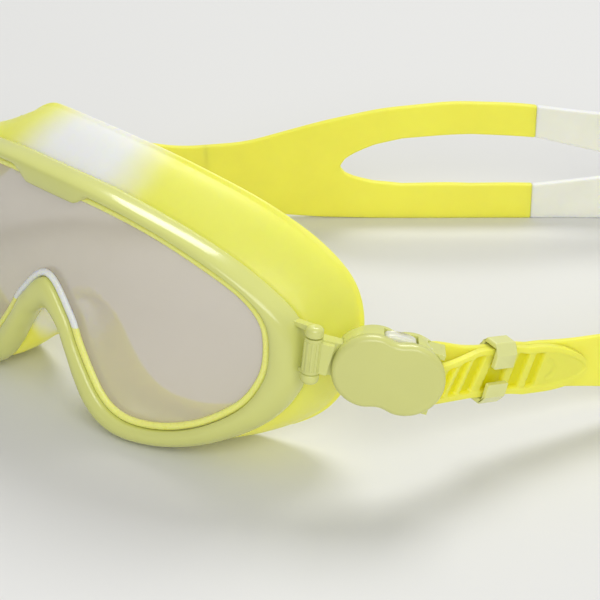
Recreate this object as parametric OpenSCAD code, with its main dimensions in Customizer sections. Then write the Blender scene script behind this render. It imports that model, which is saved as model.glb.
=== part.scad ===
// Panoramic swim and snorkel mask: a leaning one-lens mask, two quick-release
// buckles and a split silicone strap laid out in a loop behind it.
// Millimetres, +Z up, standing on Z = 0, the lens faces -Y.
// Each mask piece is drawn in the mask's own upright frame and then leaned back.

/* [Mask] */
// How far the mask leans back as it stands on frame and skirt, in degrees
lean = 8.9; // [6:0.1:11]
// Radius of the lens, which bends round the face
lens_r = 185; // [170:1:220]
// Thickness of the lens
lens_t = 1.8; // [1.4:0.1:2.0]
// How far the frame stands proud of the lens
frame_proud = 3; // [2.4:0.1:3.6]
// How far the frame reaches back over the skirt
frame_back = 5.2; // [4.8:0.1:6]
// Width of the silicone bead between frame and lens
bead_w = 2.6; // [2:0.1:3]
// Depth of the skirt at the forehead, from the lens to the rear rim
skirt_depth = 22; // [18:0.5:26]
// Thickness of the silicone wall
skin_t = 1.6; // [1.2:0.1:2]

/* [Hinges] */
// Hinge axis out from the centre plane
hinge_x = 88.9; // [88.8:0.1:89.4]
// Hinge axis back from the front of the lens
hinge_y = 20; // [19.6:0.1:20.4]
// Height of the middle of the hinge on the mask
hinge_z = 46; // [45.4:0.1:46.6]
// Radius of the hinge pin
pin_r = 1.2; // [1:0.05:1.4]
// Outer radius of the hinge knuckles
knuckle_r = 2.7; // [2.5:0.1:2.8]
// Height of the clip's knuckle between the two lugs
knuckle_h = 11; // [10:0.5:12]
// Direction of the left clip from straight out to the side, turning back
left_heading = 41; // [36:1:46]
// Direction of the right clip, measured the same way
right_heading = 64; // [60:1:65]
// How far both clips droop
droop = 9.5; // [9:0.1:10]

/* [Buckles] */
// Hinge axis to the middle of the buckle's waist
waist_x = 22.6; // [22.5:0.1:22.8]
// Half of the distance between the two round lobes
lobe_gap = 5.2; // [5:0.1:5.4]
// Radius of each lobe
lobe_r = 11.4; // [11.2:0.1:11.6]
// Depth of the housing behind the cover
housing_t = 7.4; // [7.2:0.1:7.8]
// Thickness of the cover at its rim
cover_t = 3; // [2.6:0.1:3.4]
// Hinge axis to the bar that the strap turns round
bar_x = 33.7; // [33.7:0.1:34]
// Radius of that bar
bar_r = 2.2; // [2:0.05:2.2]
// Depth of the bar behind the cover's back face
bar_y = 5.1; // [5.1:0.05:5.2]
// Travel of a release button
button_travel = 1.6; // [1.2:0.1:1.8]

/* [Strap] */
// Thickness of the strap
strap_t = 2; // [1.8:0.1:2.2]
// Width of the strap where it passes the buckle and keeper
strap_w = 16; // [15:0.5:17]
// Widest spread of the two bands behind the split
spread = 45.6; // [44:0.2:46]
// Widest gap between the two bands
gap_w = 20; // [18:1:21]
// Distance along the strap from either bar to the start of the split
split_at = 135; // [130:1:138]
// Distance along the strap from either bar to the change from yellow to white
white_at = 203; // [198:1:206]
// Length of the ribbed tail behind the bar
tail_l = 57; // [50:1:58]
// Distance along the strap from the bar to the middle of the keeper
keeper_at = 24.5; // [22:0.5:26]
// Length of the keeper along the strap
keeper_l = 8; // [7:0.5:9]

/* [Hidden] */
EPS = 0.05;
GAP = 0.3;
SIDES = ["left", "right"];

// ---- curves -----------------------------------------------------------------

// One point between b and c of a smooth curve through a, b, c and d
function between(a, b, c, d, u) =
    0.5 * (2 * b + (c - a) * u + (2 * a - 5 * b + 4 * c - d) * u * u
    + (3 * b - a - 3 * c + d) * u * u * u);

// A smooth closed curve through points p, with n steps from each to the next
function closed(p, n) = let (k = len(p))
    [for (i = [0:k - 1]) for (j = [0:n - 1])
        between(p[(i + k - 1) % k], p[i], p[(i + 1) % k], p[(i + 2) % k], j / n)];

// A smooth open curve through points p
function open(p, n) = let (k = len(p))
    [for (i = [0:k - 2]) for (j = [0:(i == k - 2 ? n : n - 1)])
        between(p[max(i - 1, 0)], p[i], p[i + 1], p[min(i + 2, k - 1)], j / n)];

// Half an outline from the top centre to the nose, completed by its mirror image
function both_halves(h) = let (k = len(h))
    concat(h, [for (i = [k - 2:-1:1]) [-h[i][0], h[i][1]]]);

// Unit outward normal of a closed clockwise outline at point i
function normal(p, i) = let (k = len(p), t = p[(i + 1) % k] - p[(i + k - 1) % k])
    [-t[1], t[0]] / norm(t);

// The lens surface bends back from the centre
function bend(x, r = lens_r) = r - sqrt(r * r - x * x);

// Joins rings of points into one closed solid; a ring list that comes back on itself has no ends
module loft(rings, ring_closed = true) {
    n = len(rings);
    m = len(rings[0]);
    last = ring_closed ? n - 1 : n - 2;
    ends = ring_closed ? [] : [[for (j = [m - 1:-1:0]) j], [for (j = [0:m - 1]) (n - 1) * m + j]];
    polyhedron(
        points = [for (r = rings) for (q = r) q],
        faces = concat(ends,
            [for (i = [0:last]) for (j = [0:m - 1]) let (
                a = i * m + j, b = i * m + (j + 1) % m,
                c = ((i + 1) % n) * m + (j + 1) % m, d = ((i + 1) % n) * m + j)
                each [[a, b, c], [a, c, d]]]));
}

// ---- outlines of the mask, from the top centre round to the nose ---------------

// Outer edge of the frame
FRAME_EDGE = [[0, 78], [20, 77.2], [39, 74], [56, 69], [70, 62], [80.5, 53.5], [84.8, 42.5],
    [83.4, 30.5], [76.5, 19], [64, 9], [50, 2.6], [36, 0], [26, 1.4], [19, 6.2],
    [14, 13.2], [10, 21], [5.8, 27.6], [0, 30.6]];
// Inner edge of the frame, along the bead
FRAME_INNER = [[0, 74], [20, 73.4], [38, 70.8], [54, 65.9], [67.5, 59.6], [74.8, 52.2], [77, 43],
    [76.2, 33.6], [71, 23.4], [60.5, 14.2], [49, 8.6], [38, 6.4], [30.4, 7.4], [24.4, 11.2],
    [19, 18], [14.2, 25.4], [9.4, 33.6], [0, 42.4]];
// Rear rim of the skirt
RIM_EDGE = [[0, 86.5], [22, 85.6], [42, 82.4], [58, 77.8], [72, 70.6], [82, 60.5], [86, 47.5],
    [85, 32], [79.5, 18], [68, 8.8], [53, 5.2], [38, 4.4], [27, 5.4], [18.5, 9.2],
    [12.5, 14.5], [8.6, 20.5], [4.6, 25.4], [0, 27.5]];
// Opening for the face, inside the rim
SEAL_EDGE = [[0, 73], [20, 72.2], [38, 69.4], [52, 65], [63, 59], [70, 51.5], [73, 43.5],
    [72, 34], [68, 24], [59.5, 15.8], [48.6, 11], [38.3, 9.6], [30.2, 10.6], [23.4, 14.4],
    [18, 20], [13, 26], [7.2, 31], [0, 33.6]];
STEPS = 3;
frame_edge = closed(both_halves(FRAME_EDGE), STEPS);
frame_inner = closed(both_halves(FRAME_INNER), STEPS);
rim_edge = closed(both_halves(RIM_EDGE), STEPS);
seal_edge = closed(both_halves(SEAL_EDGE), STEPS);
STATIONS = len(frame_edge);
rim_r = 165;

// A point d outside the frame's inner edge at station i, y behind the lens surface
function mask_point(i, d, y) = let (q = frame_inner[i] + d * normal(frame_inner, i))
    [q[0], y + bend(q[0]), q[1]];
// A point a share u of the way from the frame's inner edge to its outer edge
function frame_point(i, u, y) = let (q = frame_inner[i] + u * (frame_edge[i] - frame_inner[i]))
    [q[0], y + bend(q[0]), q[1]];
// A point of the skirt: u from the frame's outer edge to the rim, with depth to match
function skirt_point(i, u, dy = 0, inset = 0) = let (
    e = frame_edge[i] + u * (rim_edge[i] - frame_edge[i]),
    q = e - inset * normal(frame_edge, i),
    front = frame_back + bend(frame_edge[i][0]),
    back = skirt_depth + bend(rim_edge[i][0], rim_r))
    [q[0], front + u * (back - front) + dy, q[1]];
function seal_point(i, dy) = let (q = seal_edge[i])
    [q[0], skirt_depth - 5.5 + bend(q[0], rim_r) + dy, q[1]];

// ---- the solids of the mask's rings --------------------------------------------

// The frame's section: share of its width, then depth from the lens surface
function frame_ring(i) = let (
    w = norm(frame_edge[i] - frame_inner[i]),
    wall = 1 - 1.8 / w,
    step = 1.6 / w)
    [for (q = [[0, -0.1], [0, -frame_proud / 2], [0.12, -frame_proud * 0.87],
        [0.42, -frame_proud], [0.72, -frame_proud * 0.72], [0.93, 0.2], [0.98, 2.6],
        [0.88, frame_back], [wall, frame_back], [wall, lens_t + 0.2],
        [step, lens_t + 0.2], [step, -0.1]]) frame_point(i, q[0], q[1])];

// The bead sits on the lens, just inside the frame
function bead_ring(i) =
    [for (q = [[-bead_w, -EPS], [-bead_w + 0.3, -0.9], [-bead_w / 2, -1.35],
        [-EPS, -1.2], [-EPS, -EPS]]) mask_point(i, q[0], q[1])];

// The skirt's section: front flange, side wall, rim and the flange that lies on the face
function skirt_ring(i) = let (
    w = norm(frame_edge[i] - frame_inner[i]),
    inner = 1 - 2.1 / w,
    y0 = lens_t + 0.3)
    [mask_point(i, -bead_w + 0.2, y0),
    frame_point(i, inner, y0),
    frame_point(i, inner, frame_back + 0.1),
    skirt_point(i, 0.06, 0, 0.7),
    skirt_point(i, 0.5, 0, -0.7),
    skirt_point(i, 0.92, 0, -0.2),
    skirt_point(i, 1),
    seal_point(i, 0),
    seal_point(i, -skin_t * 0.6),
    skirt_point(i, 0.93, -0.6, skin_t),
    skirt_point(i, 0.5, 0, skin_t - 0.7),
    skirt_point(i, 0.06, 0, skin_t + 0.7),
    frame_point(i, 1 - (2.1 + skin_t) / w, y0 + skin_t),
    mask_point(i, -bead_w + 0.2, y0 + skin_t - 0.3)];

frame_rings = [for (i = [0:STATIONS - 1]) frame_ring(i)];
bead_rings = [for (i = [0:STATIONS - 1]) bead_ring(i)];
skirt_rings = [for (i = [0:STATIONS - 1]) skirt_ring(i)];

// ---- placing ------------------------------------------------------------------

function turned(p, a) = [p[0] * cos(a) - p[1] * sin(a), p[0] * sin(a) + p[1] * cos(a)];
function leaned(p) =
    [p[0], p[1] * cos(lean) + p[2] * sin(lean), p[2] * cos(lean) - p[1] * sin(lean)];

// The mask is lifted until its frame and skirt stand on Z = 0
lift = -min([for (r = concat(frame_rings, skirt_rings)) for (q = r) leaned(q)[2]]);

function heading(side) = side == "left" ? left_heading : right_heading;
function mirrored(side, p) = side == "left" ? p : [-p[0], p[1], p[2]];

// A direction and a point of a clip's own frame: x along the clip, y inwards, z up its hinge
function clip_dir(side, p) = let (
    q = [p[0] * cos(droop) + p[2] * sin(droop), p[1], p[2] * cos(droop) - p[0] * sin(droop)],
    t = turned(q, heading(side)))
    mirrored(side, leaned([t[0], t[1], q[2]]));
function clip_point(side, p) =
    mirrored(side, leaned([hinge_x, hinge_y, hinge_z])) + clip_dir(side, p) + [0, 0, lift];

// ---- the strap's route, as seen from above -------------------------------------

// Direction in which the strap leaves each bar, and how steeply it falls there
LEAVE = [["left", 74, -8], ["right", 103, -8]];
STRAIGHT = 36;
function leave_dir(side) = let (v = [for (q = LEAVE) if (q[0] == side) q][0])
    mirrored(side, [cos(v[1]) * cos(v[2]), sin(v[1]) * cos(v[2]), sin(v[2])]);
function off_bar(side, s) = clip_point(side, [bar_x, bar_y, 0]) + s * leave_dir(side);
// The loop from the end of the left straight, round the back, to the right straight
BEHIND = [[139, 122], [148, 145], [150, 170], [145, 196], [131, 220], [108, 234], [82, 231],
    [59, 215], [36, 194.5], [4, 165.5], [-28, 137], [-58, 111], [-82, 97]];
route = let (
    near = [for (s = [0, 12, 24, STRAIGHT]) off_bar("left", s)],
    far = [for (s = [STRAIGHT * 0.6, STRAIGHT * 0.3, 0]) off_bar("right", s)])
    open(concat([for (q = near) [q[0], q[1]]], BEHIND, [for (q = far) [q[0], q[1]]]), 4);
LAST = len(route) - 1;
// Distance along the route to each of its points
function distances(p, i = 0, sum = 0) = i >= len(p) ? [] :
    let (d = i == 0 ? 0 : norm(p[i] - p[i - 1]))
    concat([sum + d], distances(p, i + 1, sum + d));
along = distances(route);
ROUTE_L = along[LAST];

// Half of the strap's height, half of the gap in it, and the height of its lower edge,
// by distance from the nearer bar
HALF_H = [[0, strap_w / 2], [50, strap_w / 2], [80, 10.6], [102, 13.6], [128, 18.6],
    [149, spread / 2 - 1.4], [174, spread / 2], [197, spread / 2 - 0.4], [220, 20.8], [250, 19.8]];
HALF_GAP = [[0, 0], [5, 4.6], [12, 7.4], [22, 9.2], [46, gap_w / 2], [69, gap_w / 2 - 0.7],
    [92, 5], [120, 3.6]];
LOWER_EDGE = [[36, 16.5], [47, 14.8], [58, 12.4], [80, 6.5], [102, 2.4], [128, 0.5], [149, 0]];

// The point s along the strap: its place, the way it runs and the way across it
function find(s, i = 0) = i >= LAST - 1 || along[i + 1] >= s ? i : find(s, i + 1);
function route_at(s) = let (i = find(s), u = (s - along[i]) / (along[i + 1] - along[i]))
    route[i] + u * (route[i + 1] - route[i]);
function run_at(s) = let (e = 0.8, d = route_at(min(s + e, ROUTE_L)) - route_at(max(s - e, 0)))
    d / norm(d);
function from_bar(s) = min(s, ROUTE_L - s);
function side_at(s) = s < ROUTE_L / 2 ? "left" : "right";
// Near a bar the strap stands parallel to it, further back it stands upright
function upright(s) = let (
    bar_up = clip_dir(side_at(s), [0, 0, 1]),
    u = min(from_bar(s) / 60, 1),
    v = (1 - u) * bar_up + u * [0, 0, 1])
    v / norm(v);
function middle_z(s) = let (b = from_bar(s), bar_z = off_bar(side_at(s), 0)[2],
    free = lookup(b, LOWER_EDGE) + lookup(b, HALF_H), u = min(b / STRAIGHT, 1))
    (1 - u) * bar_z + u * free;

// A point of the strap: s along it, h up it and t towards the inside of the loop
function strap_point(s, h, t) = let (q = route_at(s), r = run_at(s))
    [q[0], q[1], middle_z(s)] + h * upright(s) + t * [-r[1], r[0], 0];
// A strap section between heights a and b, at depth t inside the route
function strap_ring(s, a, b, t) =
    [strap_point(s, a, t - strap_t / 2), strap_point(s, b, t - strap_t / 2),
    strap_point(s, b, t + strap_t / 2), strap_point(s, a, t + strap_t / 2)];
// The two layers part round the bar and close up behind it
BAR_GAP = 0.25;
// Strap and tail close up over this length from the bar
CLOSE_L = 17;
function layer(s) = strap_t / 2 + GAP / 2
    + (bar_r + BAR_GAP - GAP / 2) * max(0, 1 - from_bar(s) / CLOSE_L);
// The strap's direction at s, square to its upright
function square_run(s) = let (r = run_at(s), up = upright(s), v = [r[0], r[1], 0],
    q = v - (v * up) * up) q / norm(q);
function half_h(s) = lookup(from_bar(s), HALF_H);
function half_gap(s) = lookup(from_bar(s) - split_at, HALF_GAP);
function steps(a, b, n) = [for (i = [0:n]) a + (b - a) * i / n];

// The gap sits a little above the middle of the strap
RISE = 0.7;
LEFT_SPLIT = split_at;
RIGHT_SPLIT = ROUTE_L - split_at;
LEFT_WHITE = white_at;
RIGHT_WHITE = ROUTE_L - white_at;
function single_rings(side) = let (
    a = side == "left" ? 0.1 : RIGHT_SPLIT,
    b = side == "left" ? LEFT_SPLIT : ROUTE_L - 0.1)
    [for (s = steps(a, b, 26)) strap_ring(s, -half_h(s), half_h(s), layer(s))];
function band_rings(a, b, n, upper) =
    [for (s = steps(a, b, n)) upper
        ? strap_ring(s, half_gap(s) + RISE, half_h(s), layer(s))
        : strap_ring(s, -half_h(s), RISE - half_gap(s), layer(s))];
// The tail's end is rounded over this length
TIP_L = 11;
function tail_rings(side) =
    [for (k = side == "left" ? steps(-0.3, tail_l, 20) : steps(tail_l, -0.3, 20)) let (
        s = side == "left" ? k : ROUTE_L - k,
        e = min((tail_l - k) / TIP_L, 1),
        h = strap_w / 2 * sqrt(max(1 - (1 - e) * (1 - e), 0.04)))
        strap_ring(s, -h, h, -layer(s))];

// The whole object is centred over the origin
strap_points = [for (r = concat(single_rings("left"), single_rings("right"),
    band_rings(LEFT_SPLIT, RIGHT_SPLIT, 60, true), tail_rings("right"))) each r];
cover_points = [for (m = [-1, 1]) for (a = [0:15:345]) clip_point("right",
    [waist_x + m * lobe_gap + lobe_r * cos(a), -cover_t, lobe_r * sin(a)])];
SHIFT = -0.5 * [max([for (q = strap_points) q[0]]) + min([for (q = cover_points) q[0]]),
    max([for (q = strap_points) q[1]]) + min([for (r = frame_rings) for (q = r) leaned(q)[1]])];

module centred() translate([SHIFT[0], SHIFT[1], 0]) children();
module on_mask() centred() translate([0, 0, lift]) rotate([-lean, 0, 0]) children();
module on_side(side) on_mask() mirror([side == "left" ? 0 : 1, 0, 0]) children();
module on_hinge(side) on_side(side) translate([hinge_x, hinge_y, hinge_z]) children();
module on_clip(side) on_hinge(side) rotate([0, droop, heading(side)]) children();

// ---- mask ----------------------------------------------------------------------

LIME = "#c9cc7a";
YELLOW = "#e8e34f";
WHITE = "#e6e8e2";

module frame() color(LIME) on_mask() {
    loft(frame_rings);
    centre_tab();
    for (m = [0, 1]) mirror([m, 0, 0]) translate([hinge_x, hinge_y, hinge_z]) lugs();
}

// A small tab of the frame hangs over the lens at the top centre
module centre_tab() translate([0, -frame_proud / 2, 0]) rotate([90, 0, 0])
    linear_extrude(frame_proud * 0.42)
        polygon([[-16.5, 74.2], [-13.5, 72.4], [-10, 70.2], [10, 70.2], [13.5, 72.4], [16.5, 74.2]]);

module lens() color("#c9c1b4", 0.5) on_mask() intersection() {
    difference() {
        translate([0, lens_r, 0]) cylinder(r = lens_r, h = 100, $fn = 240);
        translate([0, lens_r + lens_t, -1]) cylinder(r = lens_r, h = 102, $fn = 240);
    }
    translate([0, 40, 0]) rotate([90, 0, 0]) linear_extrude(45)
        polygon([for (i = [0:STATIONS - 1]) frame_inner[i] + 0.9 * normal(frame_inner, i)]);
}

module lens_bead() color(YELLOW) on_mask() loft(bead_rings);
module skirt() color(YELLOW) on_mask() loft(skirt_rings);

// ---- hinge ---------------------------------------------------------------------

lug_h = 3.2;
lug_z = knuckle_h / 2 + GAP;
// One lug, domed at its outer end, on a foot that reaches in to the frame's edge
module lug(foot) difference() {
    union() {
        rotate_extrude($fn = 48) polygon(concat([[0, lug_z], [knuckle_r, lug_z]],
            [for (a = [0:15:90]) [knuckle_r - 1.6 + 1.6 * cos(a), lug_z + lug_h - 1.6 + 1.6 * sin(a)]],
            [[0, lug_z + lug_h]]));
        translate([-foot, -2, lug_z]) cube([foot, 4, lug_h - 1]);
    }
    translate([0, 0, lug_z - 1]) cylinder(r = pin_r + 0.02, h = lug_h, $fn = 48);
}

// Upper and lower lug of a hinge; the frame's edge is further away at the upper one
module lugs() {
    lug(hinge_x - 79.8);
    mirror([0, 0, 1]) lug(hinge_x - 83.9);
}

module hinge_pin(side) color("silver") on_hinge(side)
    translate([0, 0, -lug_z - lug_h + 1.02]) cylinder(r = pin_r, h = 2 * (lug_z + lug_h - 1.02), $fn = 48);

// ---- clip, which the buckle slides onto ---------------------------------------

tongue_y = 2.2;
tongue_t = 2;
tongue_end = 26.5;
tongue_w = 9;
arm_w = 10.4;
arm_end = 9.4;
plate_end = 5.4;
plate_h = knuckle_h - 1.6;
// The clip swings about the pin and ends in a tongue with a latching head
module clip(side) color(LIME) on_hinge(side) difference() {
    union() {
        cylinder(r = knuckle_r, h = knuckle_h, center = true, $fn = 64);
        rotate([0, droop, heading(side)]) {
            translate([0, -1.7, -plate_h / 2]) cube([plate_end, 3, plate_h]);
            translate([1.2, GAP, -arm_w / 2]) cube([arm_end - 1.2, tongue_y + tongue_t - GAP, arm_w]);
            translate([7, tongue_y + tongue_t, 0]) rotate([90, 0, 0]) linear_extrude(tongue_t)
                polygon([[0, -tongue_w / 2 + 1], [13.3, -tongue_w / 2 + 1], [14.1, -tongue_w / 2],
                    [16.8, -tongue_w / 2], [tongue_end - 7, -tongue_w / 2 + 2.4],
                    [tongue_end - 7, tongue_w / 2 - 2.4], [16.8, tongue_w / 2],
                    [14.1, tongue_w / 2], [13.3, tongue_w / 2 - 1], [0, tongue_w / 2 - 1]]);
        }
    }
    cylinder(r = pin_r + 0.06, h = knuckle_h + 2, center = true, $fn = 48);
}

// ---- buckle --------------------------------------------------------------------

housing_end = bar_x + 3.2;
housing_w = 19.6;
lobe_back = 5.8;
button_x = waist_x + 0.8;
button_w = 9.6;
button_y = 0.9;
button_d = 4.4;
button_h = 4.4;
// A pressed button's teeth stop just short of the tongue's neck
tooth_w = 1.6;
tooth_z = tongue_w / 2 - 0.6 + button_travel;

// Housing with a slot for the tongue, a channel for the two buttons and a window for the strap
module buckle(side) color(LIME) on_clip(side) difference() {
    union() {
        translate([waist_x, housing_t, 0]) rotate([90, 0, 0]) linear_extrude(housing_t) bean(-GAP);
        translate([waist_x, 0, -housing_w / 2]) cube([housing_end - waist_x, housing_t, housing_w]);
    }
    translate([0, 0, -housing_w]) linear_extrude(2 * housing_w)
        polygon([[0, lobe_back], [10, lobe_back], [waist_x, housing_t], [waist_x, housing_t + 1],
            [0, housing_t + 1]]);
    translate([0, tongue_y - GAP, -tongue_w / 2 - GAP])
        cube([tongue_end + 1, tongue_t + 2 * GAP, tongue_w + 2 * GAP]);
    translate([0, -1, -arm_w / 2 - GAP])
        cube([arm_end + GAP, tongue_y + tongue_t + 1 + GAP, arm_w + 2 * GAP]);
    translate([button_x - button_w / 2 - GAP, button_y - GAP, -housing_w])
        cube([button_w + 2 * GAP, button_d + 2 * GAP, 2 * housing_w]);
    translate([bar_x - bar_r - BAR_GAP - strap_t - GAP, -1, -strap_w / 2 - GAP])
        cube([housing_end, housing_t + 2, strap_w + 2 * GAP]);
    translate([bar_x, bar_y, -housing_w]) cylinder(r = bar_r + 0.01, h = 2 * housing_w, $fn = 40);
}

// Outline of the cover: two round lobes with a shallow waist
module bean(grow = 0) union() {
    for (s = [-1, 1]) translate([s * lobe_gap, 0]) circle(r = lobe_r + grow, $fn = 96);
    translate([-lobe_gap, -lobe_r * 0.86 - grow]) square([2 * lobe_gap, 2 * (lobe_r * 0.86 + grow)]);
}

// The cover closes the housing and carries nothing
module buckle_cover(side) color(LIME) on_clip(side) translate([waist_x, 0, 0]) rotate([90, 0, 0]) {
    linear_extrude(cover_t) bean();
    translate([0, 0, cover_t]) linear_extrude(0.7) bean(-1.2);
}

// Each button is pressed towards the tongue, against the spring
module button(side, up) color("#dfe0cc") on_clip(side) mirror([0, 0, up ? 0 : 1])
    translate([button_x - button_w / 2, button_y, 0]) {
        translate([0, 0, tongue_w / 2 + 2.2]) cube([button_w, button_d, button_h]);
        for (x = [0, button_w - tooth_w])
            translate([x, 0, tooth_z]) cube([tooth_w, button_d, tongue_w / 2 + 2.4 - tooth_z]);
    }
module button_upper(side) button(side, true);
module button_lower(side) button(side, false);

// A leaf spring behind the tongue pushes the two buttons apart
module button_spring(side) color("silver") on_clip(side)
    translate([button_x - 1.5, tongue_y + tongue_t + GAP, 0]) difference() {
        translate([0, 0, -tongue_w / 2 - 0.8])
            cube([3, button_y + button_d - tongue_y - tongue_t, tongue_w + 1.6]);
        translate([0.8, -1, -3]) cube([1.4, 4, 6]);
    }

module strap_bar(side) color("silver") on_clip(side)
    translate([bar_x, bar_y, -housing_w / 2]) cylinder(r = bar_r, h = housing_w, $fn = 40);

// ---- strap ---------------------------------------------------------------------

// Ladder tail: round the bar and back along the outside of the strap
module strap_tail(side) color(YELLOW) centred() {
    loft(tail_rings(side), false);
    bar_turn(side);
}
// Half a turn of the strap round the bar
module bar_turn(side) let (
    r0 = bar_r + BAR_GAP, r1 = r0 + strap_t,
    s0 = side == "left" ? 0.1 : ROUTE_L - 0.1,
    c = strap_point(s0, 0, 0), up = upright(s0), in = side == "left" ? 1 : -1,
    run = square_run(s0), across = cross(up, run))
    loft([for (a = side == "left" ? [0:20:180] : [180:-20:0]) let (d = across * cos(a) - in * run * sin(a))
        [c + d * r1 - up * strap_w / 2, c + d * r1 + up * strap_w / 2,
        c + d * r0 + up * strap_w / 2, c + d * r0 - up * strap_w / 2]], false);

module strap_side(side) color(YELLOW) centred() {
    loft(single_rings(side), false);
    a = side == "left" ? LEFT_SPLIT : RIGHT_WHITE;
    b = side == "left" ? LEFT_WHITE : RIGHT_SPLIT;
    loft(band_rings(a, b, 14, true), false);
    loft(band_rings(a, b, 14, false), false);
}
module strap_rear_upper() color(WHITE) centred()
    loft(band_rings(LEFT_WHITE + EPS, RIGHT_WHITE - EPS, 24, true), false);
module strap_rear_lower() color(WHITE) centred()
    loft(band_rings(LEFT_WHITE + EPS, RIGHT_WHITE - EPS, 24, false), false);

// ---- keeper --------------------------------------------------------------------

keeper_in = strap_t + GAP / 2 + 0.5;
keeper_h = strap_w / 2 + 0.5;
keeper_wall = 1.7;
// A C-shaped loop with chamfered ends, open on the outside, that holds both layers
module keeper_loop() linear_extrude(keeper_l, center = true) difference() {
    polygon([[-keeper_in - keeper_wall, -keeper_h + 1.6], [-keeper_in + 0.6, -keeper_h - keeper_wall],
        [keeper_in - 0.6, -keeper_h - keeper_wall], [keeper_in + keeper_wall, -keeper_h + 1.6],
        [keeper_in + keeper_wall, keeper_h - 1.6], [keeper_in - 0.6, keeper_h + keeper_wall],
        [-keeper_in + 0.6, keeper_h + keeper_wall], [-keeper_in - keeper_wall, keeper_h - 1.6]]);
    square([2 * keeper_in, 2 * keeper_h], center = true);
    translate([-keeper_in - keeper_wall - 1, -2.6]) square([keeper_wall + 2, 5.2]);
}
function keeper_s(side) = side == "left" ? keeper_at : ROUTE_L - keeper_at;
// The keeper's axes: across the strap inwards, up the strap, and along it
module keeper(side) color(LIME) centred() let (
    s = keeper_s(side), c = strap_point(s, 0, 0),
    d = strap_point(s + 1, 0, 0) - strap_point(s - 1, 0, 0), run = d / norm(d),
    side_on = cross(upright(s), run), in = side_on / norm(side_on), up = cross(run, in))
    multmatrix([[in[0], up[0], run[0], c[0]], [in[1], up[1], run[1], c[1]],
        [in[2], up[2], run[2], c[2]], [0, 0, 0, 1]]) keeper_loop();

// ---- drawing -------------------------------------------------------------------

frame();
lens();
lens_bead();
skirt();
for (s = SIDES) {
    hinge_pin(s);
    clip(s);
    buckle(s);
    buckle_cover(s);
    button_upper(s);
    button_lower(s);
    button_spring(s);
    strap_bar(s);
    keeper(s);
    strap_tail(s);
    strap_side(s);
}
strap_rear_upper();
strap_rear_lower();
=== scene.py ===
import math

import bmesh
import bpy
import numpy as np
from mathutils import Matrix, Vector, geometry


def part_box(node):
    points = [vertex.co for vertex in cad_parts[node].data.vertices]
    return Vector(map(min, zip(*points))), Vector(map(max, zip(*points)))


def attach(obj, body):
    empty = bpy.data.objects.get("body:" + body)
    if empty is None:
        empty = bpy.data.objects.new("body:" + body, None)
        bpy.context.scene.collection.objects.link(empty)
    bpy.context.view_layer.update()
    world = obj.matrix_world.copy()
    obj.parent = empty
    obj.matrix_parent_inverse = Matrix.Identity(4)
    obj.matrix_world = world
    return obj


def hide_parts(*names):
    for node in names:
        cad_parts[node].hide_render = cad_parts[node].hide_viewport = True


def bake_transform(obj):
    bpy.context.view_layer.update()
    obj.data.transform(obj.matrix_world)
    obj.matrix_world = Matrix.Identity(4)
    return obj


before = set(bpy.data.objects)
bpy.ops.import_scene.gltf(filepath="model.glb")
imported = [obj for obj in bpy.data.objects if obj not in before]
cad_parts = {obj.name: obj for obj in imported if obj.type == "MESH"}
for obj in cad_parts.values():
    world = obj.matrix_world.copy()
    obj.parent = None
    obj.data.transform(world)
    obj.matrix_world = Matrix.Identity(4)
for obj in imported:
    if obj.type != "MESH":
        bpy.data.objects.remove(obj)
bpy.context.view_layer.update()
SIDES = ("left", "right")
MM = 0.001

# ---------------------------------------------------------------- dimensions, in millimetres
LEAN = math.radians(8.9)
LENS_R, LENS_T = 185.0, 1.8
PROUD, BACK = 3.0, 5.2
SKIRT_DEPTH, RIM_R = 22.0, 165.0
HINGE = np.array([88.9, 20.0, 46.0])
KNUCKLE_R, KNUCKLE_H = 2.7, 11.0
HEADING = {"left": math.radians(41), "right": math.radians(64)}
DROOP = math.radians(9.5)
WAIST_X, LOBE_GAP, LOBE_R = 22.6, 5.2, 11.4
BAR_X, BAR_Y, BAR_R = 33.7, 5.1, 2.2
BUTTON_X, BUTTON_W, BUTTON_Y, BUTTON_D, TONGUE_W = 23.4, 9.6, 0.9, 4.4, 9.0
STRAP_T, STRAP_W, SPREAD, GAP_W, GAP = 2.0, 16.0, 45.6, 20.0, 0.3
HALF_W = STRAP_W / 2
SPLIT_AT, WHITE_AT, TAIL_L, RISE = 135.0, 203.0, 57.0, 0.7
STRAIGHT = 36.0
# Clearance round the strap bar, and how far behind it the strap's two layers close up
BAR_GAP, CLOSE_L = 0.25, 17.0
# Height of the strap's raised borders
BORDER_RISE = 0.32

FRAME_EDGE = [[0, 78], [20, 77.2], [39, 74], [56, 69], [70, 62], [80.5, 53.5], [84.8, 42.5],
              [83.4, 30.5], [76.5, 19], [64, 9], [50, 2.6], [36, 0], [26, 1.4], [19, 6.2],
              [14, 13.2], [10, 21], [5.8, 27.6], [0, 30.6]]
FRAME_INNER = [[0, 74], [20, 73.4], [38, 70.8], [54, 65.9], [67.5, 59.6], [74.8, 52.2], [77, 43],
               [76.2, 33.6], [71, 23.4], [60.5, 14.2], [49, 8.6], [38, 6.4], [30.4, 7.4],
               [24.4, 11.2], [19, 18], [14.2, 25.4], [9.4, 33.6], [0, 42.4]]
RIM_EDGE = [[0, 86.5], [22, 85.6], [42, 82.4], [58, 77.8], [72, 70.6], [82, 60.5], [86, 47.5],
            [85, 32], [79.5, 18], [68, 8.8], [53, 5.2], [38, 4.4], [27, 5.4], [18.5, 9.2],
            [12.5, 14.5], [8.6, 20.5], [4.6, 25.4], [0, 27.5]]
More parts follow.
